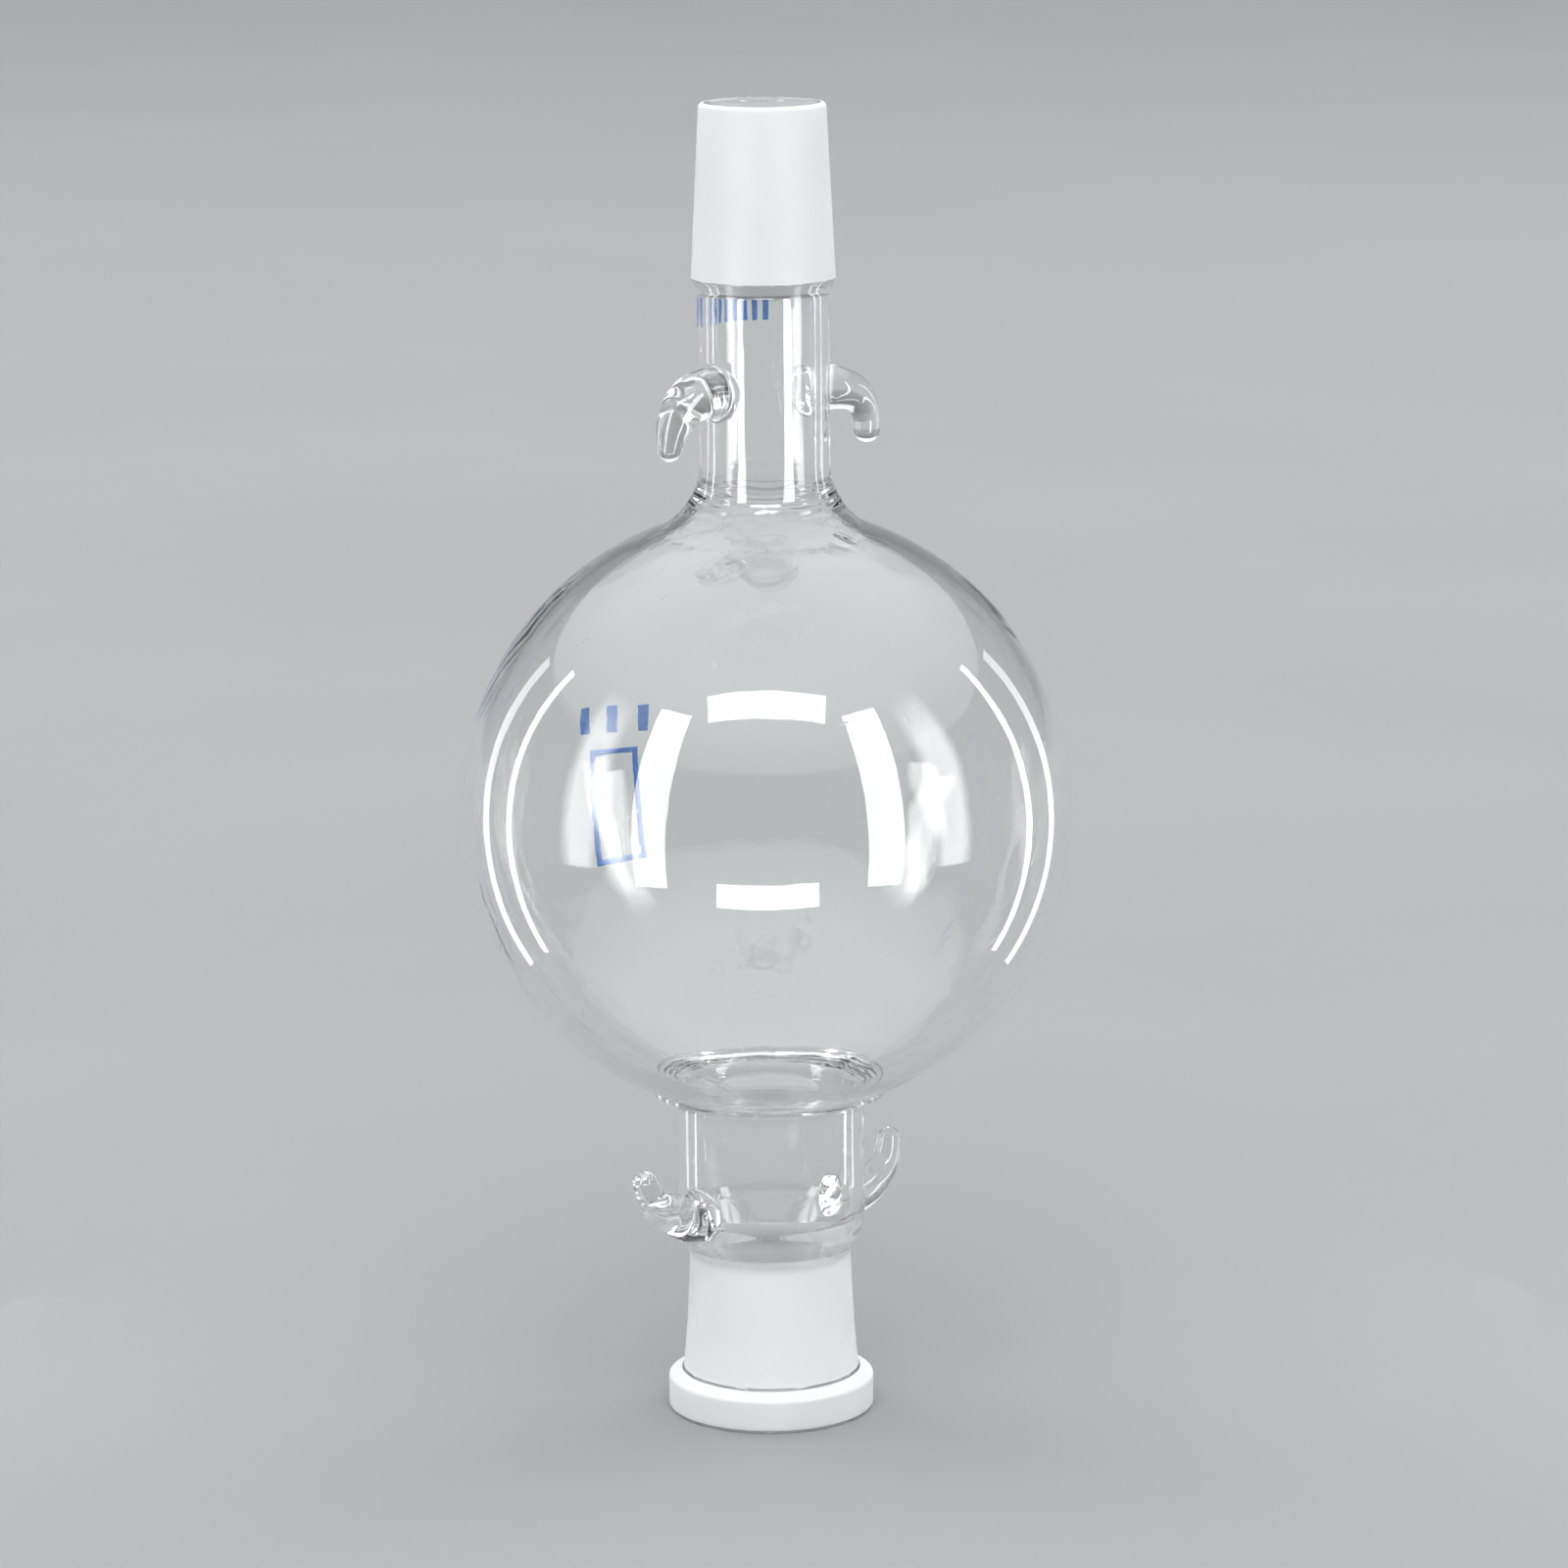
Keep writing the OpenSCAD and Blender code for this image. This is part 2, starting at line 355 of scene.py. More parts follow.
def unevenness(x, y, z, inside):
    """How far the surface stands off its true outline, in millimetres. The ground joints are true.

    Most of the ripples are on the bulb's far side from the camera, so the reflections in front stay clean.
    """
    r = math.hypot(x, y)
    free = smooth(z, ground_top + 1, ground_top + 6) * (1 - smooth(z, cone_z - 9, cone_z - 3))
    if free == 0:
        return 0
    if not inside:
        for hook in HOOKS.values():
            if hook["side"] * x > 0:
                away = math.hypot(y, z - hook["root_z"])
                free *= smooth(away, *CALM_AROUND_HOOK)
    blown = smooth(r, neck_r + 3, neck_r + 16)
    worked_side = 0.1 + 1.1 * smooth(y * 0.75 + x * 0.66, -10, 25)
    drawn = noise.noise(Vector((x, y, z * 0.1)) * 0.33) + 0.5 * noise.noise(Vector((x, y, z * 0.06)) * 0.9)
    soft = noise.noise(Vector((x, y, z + 300 * inside)) * 0.035)
    fine = noise.noise(Vector((x, y, z * 0.6 + 700 * inside)) * 0.16)
    depth = 0.035 * drawn * (1 - blown)
    waves, ripples = INSIDE_WAVES if inside else OUTSIDE_WAVES
    depth += blown * (waves * soft + ripples * worked_side * fine)
    lower_rings = math.exp(-(((r - 18) ** 2 + (z - LIP_Z + 0.4) ** 2) / 3))
    upper_rings = math.exp(-(((z - neck_z + 5.5) / 2.6) ** 2)) * (1 - smooth(r, neck_r + 1, neck_r + 6))
    wobble = 1.5 * noise.noise(Vector((x, y, z)) * 0.2)
    depth += 0.05 * lower_rings * math.sin(7.5 * (r + 0.5 * z) + wobble)
    depth += (0.12 if inside else 0.03) * upper_rings * math.sin(3.4 * z + wobble)
    if not inside:
        depth += sum(KNOT_HEIGHT * math.exp(-((math.dist((x, y, z), knot) / KNOT_R) ** 2)) for knot in KNOTS)
    return free * depth


def difference(grid, axis):
    """Slope of the grid along one closed axis, weighted so that uneven spacing doesn't tilt it."""
    ahead = np.roll(grid, -1, axis) - grid
    back = np.roll(ahead, 1, axis)
    far = np.linalg.norm(ahead, axis=2, keepdims=True)
    near = np.linalg.norm(back, axis=2, keepdims=True)
    return ahead * near / far + back * far / near


def glass_grid():
    """Every point of the turned glass and its normal, by rows and segments, and the outline's own normals."""
    slope = difference(outline[:, None, :], 0)[:, 0]
    push = np.stack([slope[:, 1], -slope[:, 0]], 1) / np.linalg.norm(slope, axis=1, keepdims=True)
    turn = np.arange(SEGMENTS) * 2 * math.pi / SEGMENTS
    points = np.empty((ROWS, SEGMENTS, 3))
    for row, ((r, z), (push_r, push_z)) in enumerate(zip(outline, push)):
        for column, a in enumerate(turn):
            off = unevenness(r * math.cos(a), r * math.sin(a), z, row >= FIRST_INSIDE)
            reach = r + off * push_r
            points[row, column] = (reach * math.cos(a), reach * math.sin(a), z + off * push_z)
    normals = np.cross(difference(points, 1), difference(points, 0))
    return points, normals / np.linalg.norm(normals, axis=2, keepdims=True), push


points, normals, outline_push = glass_grid()


# ---------------------------------------------------------------- meshes

CLEAR, GROUND, SEAM = 0, 1, 2

# Heights of the narrow fire-polished bands: the edge of the foot, and the fillet above the rim.
POLISHED = [(0, 0.6), (rim_h - 0.1, rim_h + 0.4)]


def add_piece(name, verts, faces, materials, slot, vertex_normals=None, indices=None):
    """Object from millimetre points, riding on the glass and standing for its CAD node."""
    verts = np.asarray(verts, float)
    used = np.unique(np.concatenate([np.asarray(face) for face in faces]))
    place = np.zeros(len(verts), int)
    place[used] = np.arange(len(used))
    mesh = bpy.data.meshes.new(name)
    mesh.from_pydata((verts[used] * MM).tolist(), [], [[int(place[i]) for i in face] for face in faces])
    mesh.polygons.foreach_set("use_smooth", [True] * len(faces))
    for entry in materials:
        mesh.materials.append(entry)
    if indices is not None:
        mesh.polygons.foreach_set("material_index", indices)
    if vertex_normals is not None:
        mesh.normals_split_custom_set_from_vertices(np.asarray(vertex_normals)[used].tolist())
    piece = bpy.data.objects.new(name + "_glass" if slot != "blue_enamel" else name + "_print", mesh)
    bpy.context.scene.collection.objects.link(piece)
    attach(piece, "root")
    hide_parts(name)
    return piece


def strip(first, second):
    """Quads between two closed rings of the same length, given as lists of point numbers."""
    return [
        (first[i], first[(i + 1) % len(first)], second[(i + 1) % len(first)], second[i])
        for i in range(len(first))
    ]


def surface(row, following):
    """Finish of the strip of the outline between two rows."""
    r, z = (outline[row] + outline[following]) / 2
    if row >= FIRST_INSIDE:
        return GROUND if z < ground_top and r < joint_r else CLEAR
    polished = any(start < z < end for start, end in POLISHED)
    on_socket = z < WAIST_Z + 0.3 and not polished
    return GROUND if on_socket or z > cone_z + 0.1 else CLEAR


def hook_points(hook, u, v):
    """The point on the tube at (u, v) from the hook's root, across and upward, and its normal."""
    rows = np.array(spans[hook["tube"], "outside"])
    z = hook["root_z"] + v
    r, push_r, push_z = (
        np.interp(z, outline[rows, 1], values) for values in (outline[rows, 0], *outline_push[rows].T)
    )
    out = math.sqrt(r * r - u * u)
    side = hook["side"]
    point = (side * out, side * u, z)
    normal = (side * out / r * push_r, side * u / r * push_r, push_z)
    return point, normal


def foot_surface(hook):
    """Radius of the tube's surface at the hook's root."""
    return abs(hook_points(hook, 0, 0)[0][0])


def patch_block(hook):
    """Rows and columns of the turned grid around a hook's foot, and the ring of points on their border."""
    reach = foot_radius(hook) + 0.5
    rows = [i for i in spans[hook["tube"], "outside"] if abs(outline[i, 1] - hook["root_z"]) < reach]
    rows = list(range(rows[0] - 1, rows[-1] + 2))
    half = math.ceil(math.asin(reach / min(outline[rows, 0])) / (2 * math.pi) * SEGMENTS)
    centre = 0 if hook["side"] > 0 else SEGMENTS // 2
    columns = [(centre + j) % SEGMENTS for j in range(-half, half + 1)]
    border = [(rows[0], c) for c in columns[:-1]] + [(r, columns[-1]) for r in rows[:-1]]
    border += [(rows[-1], c) for c in columns[:0:-1]] + [(r, columns[0]) for r in rows[:0:-1]]
    return rows, columns, border


def foot_directions(hook):
    """Unit vectors (across, upward) from the root to each point of the patch's border, and those points."""
    border = patch_block(hook)[2]
    side = hook["side"]
    flat = [(side * points[r, c, 1], points[r, c, 2] - hook["root_z"]) for r, c in border]
    return [(u / math.hypot(u, v), v / math.hypot(u, v)) for u, v in flat], flat


def lathe_piece(name, materials, slot):
    """One piece of the turned glass, with flat seams where it is fused to its neighbours."""
    order = [i % ROWS for side in ("outside", "inside") for i in spans[name, side]]
    order = [row for k, row in enumerate(order) if row != order[k - 1]]
    verts = points[order].reshape(-1, 3)
    vertex_normals = normals[order].reshape(-1, 3)
    faces = []
    indices = []
    hooks = [hook for hook in HOOKS.values() if hook["tube"] == name]
    holes = set()
    for hook in hooks:
        rows, columns = patch_block(hook)[:2]
        holes |= {(row, column) for row in rows[:-1] for column in columns[:-1]}
    for k, row in enumerate(order):
        following = order[(k + 1) % len(order)]
        joined = following == (row + 1) % ROWS
        kind = surface(row, following) if joined else SEAM
        ring = [k * SEGMENTS + j for j in range(SEGMENTS)]
        next_k = (k + 1) % len(order)
        quads = strip(ring, [next_k * SEGMENTS + j for j in range(SEGMENTS)])
        quads = [quad for j, quad in enumerate(quads) if not joined or (row, j) not in holes]
        faces += quads
        indices += [kind] * len(quads)
    place = {row: k for k, row in enumerate(order)}
    for hook in hooks:
        outer = [place[row] * SEGMENTS + column for row, column in patch_block(hook)[2]]
        more, more_normals, more_faces, more_kinds = foot_patch(hook, outer, len(verts))
        verts = np.concatenate([verts, more])
        vertex_normals = np.concatenate([vertex_normals, more_normals])
        faces += more_faces
        indices += more_kinds
    return add_piece(name, verts, faces, materials, slot, vertex_normals, indices)


# Rings of faces between a hook's foot and the turned grid around it.
FOOT_RINGS = 3


def foot_patch(hook, border, first):
    """Fills the hole around a hook's foot: rings from the grid in to the foot, and the seam under it."""
    directions, flat = foot_directions(hook)
    foot = foot_radius(hook)
    rings = []
    for t in range(FOOT_RINGS - 1, -1, -1):
        mix = t / FOOT_RINGS
        rings.append([
            ((1 - mix) * foot * du + mix * u, (1 - mix) * foot * dv + mix * v)
            for (du, dv), (u, v) in zip(directions, flat)
        ])
    for t in (2 / 3, 1 / 3):
        rings.append([(t * foot * du, t * foot * dv) for du, dv in directions])
    placed = [hook_points(hook, u, v) for ring in rings for u, v in ring] + [hook_points(hook, 0, 0)]
    count = len(border)
    numbers = [[first + k * count + i for i in range(count)] for k in range(len(rings))]
    faces = []
    kinds = []
    for k, (outer, inner) in enumerate(zip([border] + numbers, numbers)):
        faces += strip(outer, inner)
        kinds += [CLEAR if k < FOOT_RINGS else SEAM] * count
    centre = first + len(rings) * count
    faces += [(numbers[-1][i], numbers[-1][(i + 1) % count], centre) for i in range(count)]
    kinds += [SEAM] * count
    return np.array([p for p, n in placed]), np.array([n for p, n in placed]), faces, kinds


# Rings along a hook: up its fillet, between two points of its line, and over its tip.
FILLET_STEPS = 8
SPAN_STEPS = 14
TIP_STEPS = 9

# Height of the bulges of a hand-drawn rod, against its radius.
HOOK_BULGE = 0.04


def hook_stations(hook):
    """Points (outward, upward, radius) along a hook from its fillet to its rounded tip, with their tilts."""
    line_of = np.array([p for p in spline(hook["line"], SPAN_STEPS) if p[0] > hook["fillet"] + 0.5])
    steps = np.diff(line_of[:, :2], axis=0)
    ahead = np.concatenate([steps[:1], steps[:-1] + steps[1:], steps[-1:]])
    tilts = list(np.arctan2(ahead[:, 1], ahead[:, 0]))
    stations = list(line_of)
    out, up, radius = line_of[-1]
    heading = np.array([math.cos(tilts[-1]), math.sin(tilts[-1])])
    for step in range(1, TIP_STEPS + 1):
        a = math.radians(90 * step / TIP_STEPS)
        stations.append((*((out, up) + heading * radius * math.sin(a)), radius * math.cos(a)))
        tilts.append(tilts[-1])
    return stations, tilts


def hook_ring(hook, station, tilt, directions, grown):
    """One ring of a hook, square to its centre line. Its bulge fades in as grown goes from 0 to 1."""
    out, up, size = station
    side = hook["side"]
    centre_x = foot_surface(hook) + out
    centre_z = hook["root_z"] + up
    ring = []
    for across, upward in directions:
        lean = size * upward * math.sin(tilt)
        rise = size * upward * math.cos(tilt)
        spot = Vector((side * (centre_x - lean), size * across, centre_z + rise))
        bulge = 1 + grown * HOOK_BULGE * noise.noise(spot * 0.14)
        ring.append((side * (centre_x - bulge * lean), side * bulge * size * across, centre_z + bulge * rise))
    return ring


def hook_piece(name, hook, materials):
    """A hook as rings swept along its centre line, from a fillet on the tube to a rounded tip."""
    directions = foot_directions(hook)[0]
    count = len(directions)
    foot, fillet, root_r = foot_radius(hook), hook["fillet"], hook["line"][0][2]
    rings = []
    for step in range(FILLET_STEPS + 1):
        a = math.radians(90 * step / FILLET_STEPS)
        size = root_r + fillet * (1 - math.sin(a))
        lift = hook["side"] * fillet * (1 - math.cos(a))
        ring = [hook_points(hook, size * du, size * dv)[0] for du, dv in directions]
        rings.append([(x + lift, y, z) for x, y, z in ring])
    stations, tilts = hook_stations(hook)
    for k, (station, tilt) in enumerate(zip(stations[:-1], tilts)):
        rings.append(hook_ring(hook, station, tilt, directions, smooth(k, 0, 8)))
    grid = np.array(rings)
    grid_normals = np.cross(difference(grid, 1), np.gradient(grid, axis=0))
    grid_normals /= np.linalg.norm(grid_normals, axis=2, keepdims=True)
    grid_normals[0] = [hook_points(hook, foot * du, foot * dv)[1] for du, dv in directions]
    tip = hook_ring(hook, stations[-1], tilts[-1], directions[:1], 0)[0]
    tip_normal = (hook["side"] * math.cos(tilts[-1]), 0, math.sin(tilts[-1]))
    under = [(t * foot * du, t * foot * dv) for t in (2 / 3, 1 / 3) for du, dv in directions]
    under = [hook_points(hook, u, v) for u, v in [*under, (0, 0)]]
    verts = [*grid.reshape(-1, 3), tip, *(point for point, normal in under)]
    vertex_normals = [*grid_normals.reshape(-1, 3), tip_normal, *(normal for point, normal in under)]
    numbers = [[k * count + i for i in range(count)] for k in range(len(rings))]
    tip_number = len(rings) * count
    faces = [face for a, b in zip(numbers, numbers[1:]) for face in strip(a, b)]
    faces += [(numbers[-1][i], numbers[-1][(i + 1) % count], tip_number) for i in range(count)]
    kinds = [CLEAR] * len(faces)
    caps = [numbers[0]] + [[tip_number + 1 + k * count + i for i in range(count)] for k in range(2)]
    for a, b in zip(caps, caps[1:]):
        faces += [face[::-1] for face in strip(a, b)]
    centre = len(verts) - 1
    faces += [(caps[-1][(i + 1) % count], caps[-1][i], centre) for i in range(count)]
    kinds += [SEAM] * (len(faces) - len(kinds))
    return add_piece(name, verts, faces, materials, "clear_glass", vertex_normals, kinds)


def grid_border(grid):
    """Outermost points of a grid, in order around it."""
    return [*grid[:, 0], *grid[-1, 1:], *grid[-2::-1, -1], *grid[0, -2:0:-1]]


# The print's thickness, and the gap that keeps it clear of the glass.
PRINT_THICKNESS = 0.06
PRINT_GAP = 0.03


def print_piece(name, shapes, place, material):
    """Thin printed shapes. Each is a grid of flat points, and place turns (u, v, lift) into a point.

    A shape whose rows run all the way round, such as a frame, is marked as closed.
    """
    verts = []
    faces = []
    for shape, closed in shapes:
        count_u, count_v = len(shape), len(shape[0])
        top = np.arange(count_u * count_v).reshape(count_u, count_v) + len(verts)
        under = top + count_u * count_v
        for lift in (PRINT_THICKNESS, 0):
            verts += [place(u, v, PRINT_GAP + lift) for row in shape for u, v in row]
        for i in range(count_u if closed else count_u - 1):
            ahead = (i + 1) % count_u
            for j in range(count_v - 1):
                faces.append((top[i, j], top[ahead, j], top[ahead, j + 1], top[i, j + 1]))
                faces.append((under[i, j], under[i, j + 1], under[ahead, j + 1], under[ahead, j]))
        if closed:
            faces += strip(under[:, 0], top[:, 0]) + strip(under[::-1, -1], top[::-1, -1])
        else:
            faces += strip(grid_border(under), grid_border(top))
    return add_piece(name, verts, faces, [material], "blue_enamel")


# About the farthest that a point of a printed shape strays, in each direction.
FRAY = 0.04


def frayed(u, v):
    """A point of a printed shape, moved a little as ink creeps."""
    spot = Vector((u, v, 3)) * 1.7
    return (u + FRAY * noise.noise(spot), v + FRAY * noise.noise(spot + Vector((9, 0, 0))))


def patch(u0, v0, u1, v1, step=0.5):
    """A flat rectangle as a grid, with softly uneven edges."""
    count_u = max(3, round((u1 - u0) / step))
    count_v = max(3, round((v1 - v0) / step))
    across = [u0 + (u1 - u0) * i / count_u for i in range(count_u + 1)]
    upward = [v0 + (v1 - v0) * j / count_v for j in range(count_v + 1)]
    return [[frayed(u, v) for v in upward] for u in across], False


def frame_loop(left, bottom, right, top, bar, step=0.5):
    """A flat rectangular frame as a closed grid whose rows run from its outer to its inner edge."""
    outer = [(left, bottom), (right, bottom), (right, top), (left, top)]
    inner_left, inner_bottom, inner_right, inner_top = left + bar, bottom + bar, right - bar, top - bar
    inner = [
        (inner_left, inner_bottom), (inner_right, inner_bottom),
        (inner_right, inner_top), (inner_left, inner_top),
    ]
    grid = []
    for k in range(4):
        ahead = (k + 1) % 4
        count = round(math.dist(outer[k], outer[ahead]) / step)
        for i in range(count):
            ends = []
            for corners in (outer, inner):
                ends.append(Vector(corners[k]).lerp(Vector(corners[ahead]), i / count))
            grid.append([frayed(*ends[0].lerp(ends[1], t)) for t in (0, 0.5, 1)])
    return grid, True


# The bars on the neck: how many there are, the degrees from one to the next, and their width.
NECK_BARS = 9
NECK_BAR_PITCH = 11
NECK_BAR_WIDTH = 1.1


def neck_print(material):
    """A row of short upright bars around the neck, facing +Y."""
    z0, z1 = low("neck_mark", 2), high("neck_mark", 2)
    pitch = math.radians(NECK_BAR_PITCH) * neck_r
    half = NECK_BAR_WIDTH / 2
    numbers = range(-(NECK_BARS // 2), NECK_BARS // 2 + 1)
    shapes = [patch(i * pitch - half, z0, i * pitch + half, z1, 0.25) for i in numbers]

    def place(u, v, lift):
        a = math.pi / 2 + u / neck_r
        r = neck_r + lift + unevenness(neck_r * math.cos(a), neck_r * math.sin(a), v, False)
        return (r * math.cos(a), r * math.sin(a), v)

    return print_piece("neck_mark", shapes, place, material)


# The print on the bulb: the azimuth it faces, the middles, width and heights of its bars, and the left,
# bottom, right and top of its frame and how broad its line is. Heights are from the middle of the bulb.
BULB_MARK_AZIMUTH = 81
BULB_BARS_AT = (-6, 0, 6)
BULB_BAR_WIDTH = 2
BULB_BAR_LOW, BULB_BAR_HIGH = 5, 10
BULB_FRAME = (-5, -18, 5, 2)
BULB_FRAME_LINE = 1


def bulb_print(material):
    """Three bars above an empty upright frame on the bulb."""
    azimuth = math.radians(BULB_MARK_AZIMUTH)
    half = BULB_BAR_WIDTH / 2
    shapes = [patch(x - half, BULB_BAR_LOW, x + half, BULB_BAR_HIGH) for x in BULB_BARS_AT]
    shapes.append(frame_loop(*BULB_FRAME, BULB_FRAME_LINE))

    def place(u, v, lift):
        out = math.sqrt(bulb_r**2 - u * u - v * v)
        x = out * math.cos(azimuth) - u * math.sin(azimuth)
        y = out * math.sin(azimuth) + u * math.cos(azimuth)
        grow = (bulb_r + lift + unevenness(x, y, bulb_z + v, False)) / bulb_r
        return (x * grow, y * grow, bulb_z + v * grow)

    return print_piece("bulb_mark", shapes, place, material)


# ---------------------------------------------------------------- materials


class Look:
    """A material under construction. Texture coordinates are the object's own, in metres."""

    def __init__(self, name, **values):
        self.material = bpy.data.materials.new(name)
        self.material.use_nodes = True
        self.tree = self.material.node_tree
        self.shader = self.tree.nodes["Principled BSDF"]
        for socket, value in values.items():
            self.shader.inputs[socket.replace("_", " ")].default_value = value
        self.place = self.tree.nodes.new("ShaderNodeTexCoord").outputs["Object"]

    def add(self, kind, inputs, **settings):
        """New node with its inputs set to values or linked to sockets. Returns the node."""
        node = self.tree.nodes.new(kind)
        for key, value in settings.items():
            setattr(node, key, value)
        for key, value in inputs.items():
            if isinstance(value, bpy.types.NodeSocket):
                self.tree.links.new(value, node.inputs[key])
            else:
                node.inputs[key].default_value = value
        return node

    def stretched(self, scale):
        return self.add("ShaderNodeMapping", {"Vector": self.place, "Scale": scale}).outputs[0]

    def noise(self, scale, detail=2, vector=None):
        inputs = {"Vector": vector or self.place, "Scale": scale, "Detail": detail}
        return self.add("ShaderNodeTexNoise", inputs).outputs["Fac"]

    def remap(self, value, from_min, from_max, to_min, to_max):
        inputs = {
            "Value": value, "From Min": from_min, "From Max": from_max, "To Min": to_min, "To Max": to_max,
        }
        return self.add("ShaderNodeMapRange", inputs).outputs[0]

    def math(self, operation, a, b):
        return self.add("ShaderNodeMath", {0: a, 1: b}, operation=operation).outputs[0]

    def blend(self, amount, first, second):
        """Colour between two RGB triples."""
        node = self.add("ShaderNodeMix", {"Factor": amount}, data_type="RGBA")
        node.inputs["A"].default_value = (*first, 1)
        node.inputs["B"].default_value = (*second, 1)
        return node.outputs["Result"]

    def bump(self, height, strength, distance, normal=None):
        inputs = {"Height": height, "Strength": strength, "Distance": distance}
        if normal is not None:
            inputs["Normal"] = normal
        return self.add("ShaderNodeBump", inputs).outputs[0]

    def drive(self, **sockets):
        for name, value in sockets.items():
            self.tree.links.new(value, self.shader.inputs[name.replace("_", " ")])
        return self.material


def scratches(look):
    """1 along sparse hairline scratches, else 0."""
    cells = look.add("ShaderNodeTexVoronoi", {"Vector": look.place, "Scale": 46}, feature="DISTANCE_TO_EDGE")
    hair = look.remap(cells.outputs[0], 0, 0.005, 1, 0)
    sparse = look.remap(look.noise(210, 0), 0.70, 0.74, 0, 1)
    return look.math("MULTIPLY", hair, sparse)


def clear_glass():
    """Fire-polished borosilicate: faint wipe marks, hairline scratches and a little surface ripple."""
    look = Look("clear_glass", Base_Color=(0.985, 0.995, 0.992, 1), Transmission_Weight=1, IOR=1.474)
    scratched = scratches(look)
    wiped = look.remap(look.noise(60, 3, look.stretched((1, 1, 0.35))), 0.45, 0.75, 0.0, 0.035)
    rough = look.math("MAXIMUM", wiped, look.math("MULTIPLY", scratched, 0.35))
    ripple = look.bump(look.noise(420, 2), 0.25, 0.00002)
    return look.drive(Roughness=rough, Normal=look.bump(scratched, 0.3, 0.00004, ripple))


def ground_glass():
    """Fine ground joint: a dense white grain with faint rings from the grinding tool."""
    look = Look("ground_glass", Transmission_Weight=0.2, IOR=1.474, Diffuse_Roughness=0.6)
    grain = look.noise(9000, 2)
    rings = look.noise(1, 3, look.stretched((30, 30, 5200)))
    cloud = look.noise(110, 3)
    tone = look.blend(look.remap(cloud, 0.3, 0.7, 0, 1), (0.93, 0.932, 0.937), (0.97, 0.97, 0.972))
    rough = look.remap(look.math("ADD", rings, cloud), 0.7, 1.3, 0.5, 0.72)
    normal = look.bump(grain, 0.5, 0.00004, look.bump(rings, 0.2, 0.00003))
    return look.drive(Base_Color=tone, Roughness=rough, Normal=normal)


def blue_enamel():
    """Baked ceramic print: even cobalt blue, thin in places, with a fine orange-peel surface."""
    look = Look("blue_enamel", IOR=1.52, Coat_Weight=0.3, Coat_Roughness=0.2)
    thin = look.remap(look.noise(1500, 4), 0.35, 0.7, 0, 1)
    tone = look.blend(thin, (0.01, 0.19, 0.82), (0.03, 0.33, 1.0))
    rough = look.remap(look.noise(700, 2), 0.3, 0.7, 0.28, 0.5)
    return look.drive(Base_Color=tone, Roughness=rough, Normal=look.bump(thin, 0.3, 0.00003))


def fused_seam():
    """Where two pieces are one body of glass, nothing is seen."""
    look = Look("fused_seam")
    clear = look.tree.nodes.new("ShaderNodeBsdfTransparent")
    look.tree.nodes.remove(look.shader)
    look.tree.links.new(clear.outputs[0], look.tree.nodes["Material Output"].inputs["Surface"])
    return look.material


def studio_floor():
    """Matte pale paper sweep with a very faint mottle."""
    look = Look("studio_floor", Specular_IOR_Level=0.15)
    mottle = look.remap(look.noise(5, 3), 0.3, 0.7, 0, 1)
    tone = look.blend(mottle, (0.285, 0.29, 0.293), (0.295, 0.30, 0.303))
    return look.drive(Base_Color=tone, Roughness=look.remap(mottle, 0, 1, 0.85, 0.95))


# ---------------------------------------------------------------- the glass and its marks

finishes = [clear_glass(), ground_glass(), fused_seam()]
enamel = blue_enamel()
SLOTS = {"ground_cone": "ground_glass", "ground_socket": "ground_glass"}

for piece_name in PIECES:
    lathe_piece(piece_name, finishes, SLOTS.get(piece_name, "clear_glass"))
for hook_name, hook_shape in HOOKS.items():
    hook_piece(hook_name, hook_shape, finishes)
neck_print(enamel)
bulb_print(enamel)


# ---------------------------------------------------------------- studio


def studio_sweep():
    """Round paper floor that curves up into a low wall far behind the object on every side."""
    flat_r, bend_r, wall_top, bend_steps = 4.0, 2.5, 3.2, 24
    outline_m = [(0.0, 0.0), (0.15, 0.0), (0.5, 0.0), (1.2, 0.0), (2.5, 0.0), (flat_r, 0.0)]
    for step in range(1, bend_steps + 1):
        a = math.radians(90 * step / bend_steps)
        outline_m.append((flat_r + bend_r * math.sin(a), bend_r * (1 - math.cos(a))))
    outline_m.append((flat_r + bend_r, wall_top))
    count = 96
    angles = [2 * math.pi * i / count for i in range(count)]
    verts = [(0, 0, 0)]
    for r, z in outline_m[1:]:
        verts += [(r * math.cos(a), r * math.sin(a), z) for a in angles]
    rings = [[1 + k * count + i for i in range(count)] for k in range(len(outline_m) - 1)]
    faces = [(0, rings[0][i], rings[0][(i + 1) % count]) for i in range(count)]
    faces += [face[::-1] for a, b in zip(rings, rings[1:]) for face in strip(a, b)]
    mesh = bpy.data.meshes.new("studio_floor")
    mesh.from_pydata(verts, [], faces)
    mesh.polygons.foreach_set("use_smooth", [True] * len(faces))
    mesh.materials.append(studio_floor())
    floor = bpy.data.objects.new("studio_floor", mesh)
    bpy.context.scene.collection.objects.link(floor)


CAMERA_AT = Vector((-0.6457, -0.7172, 0.31245))
CAMERA_LENS = 134.4

# Degrees that the camera looks down, looks aside of the object's axis, and leans.
CAMERA_DOWN = 11.913
CAMERA_ASIDE = 0.17
CAMERA_LEAN = 0.37815

BULB_AT = Vector((0, 0, bulb_z * MM))


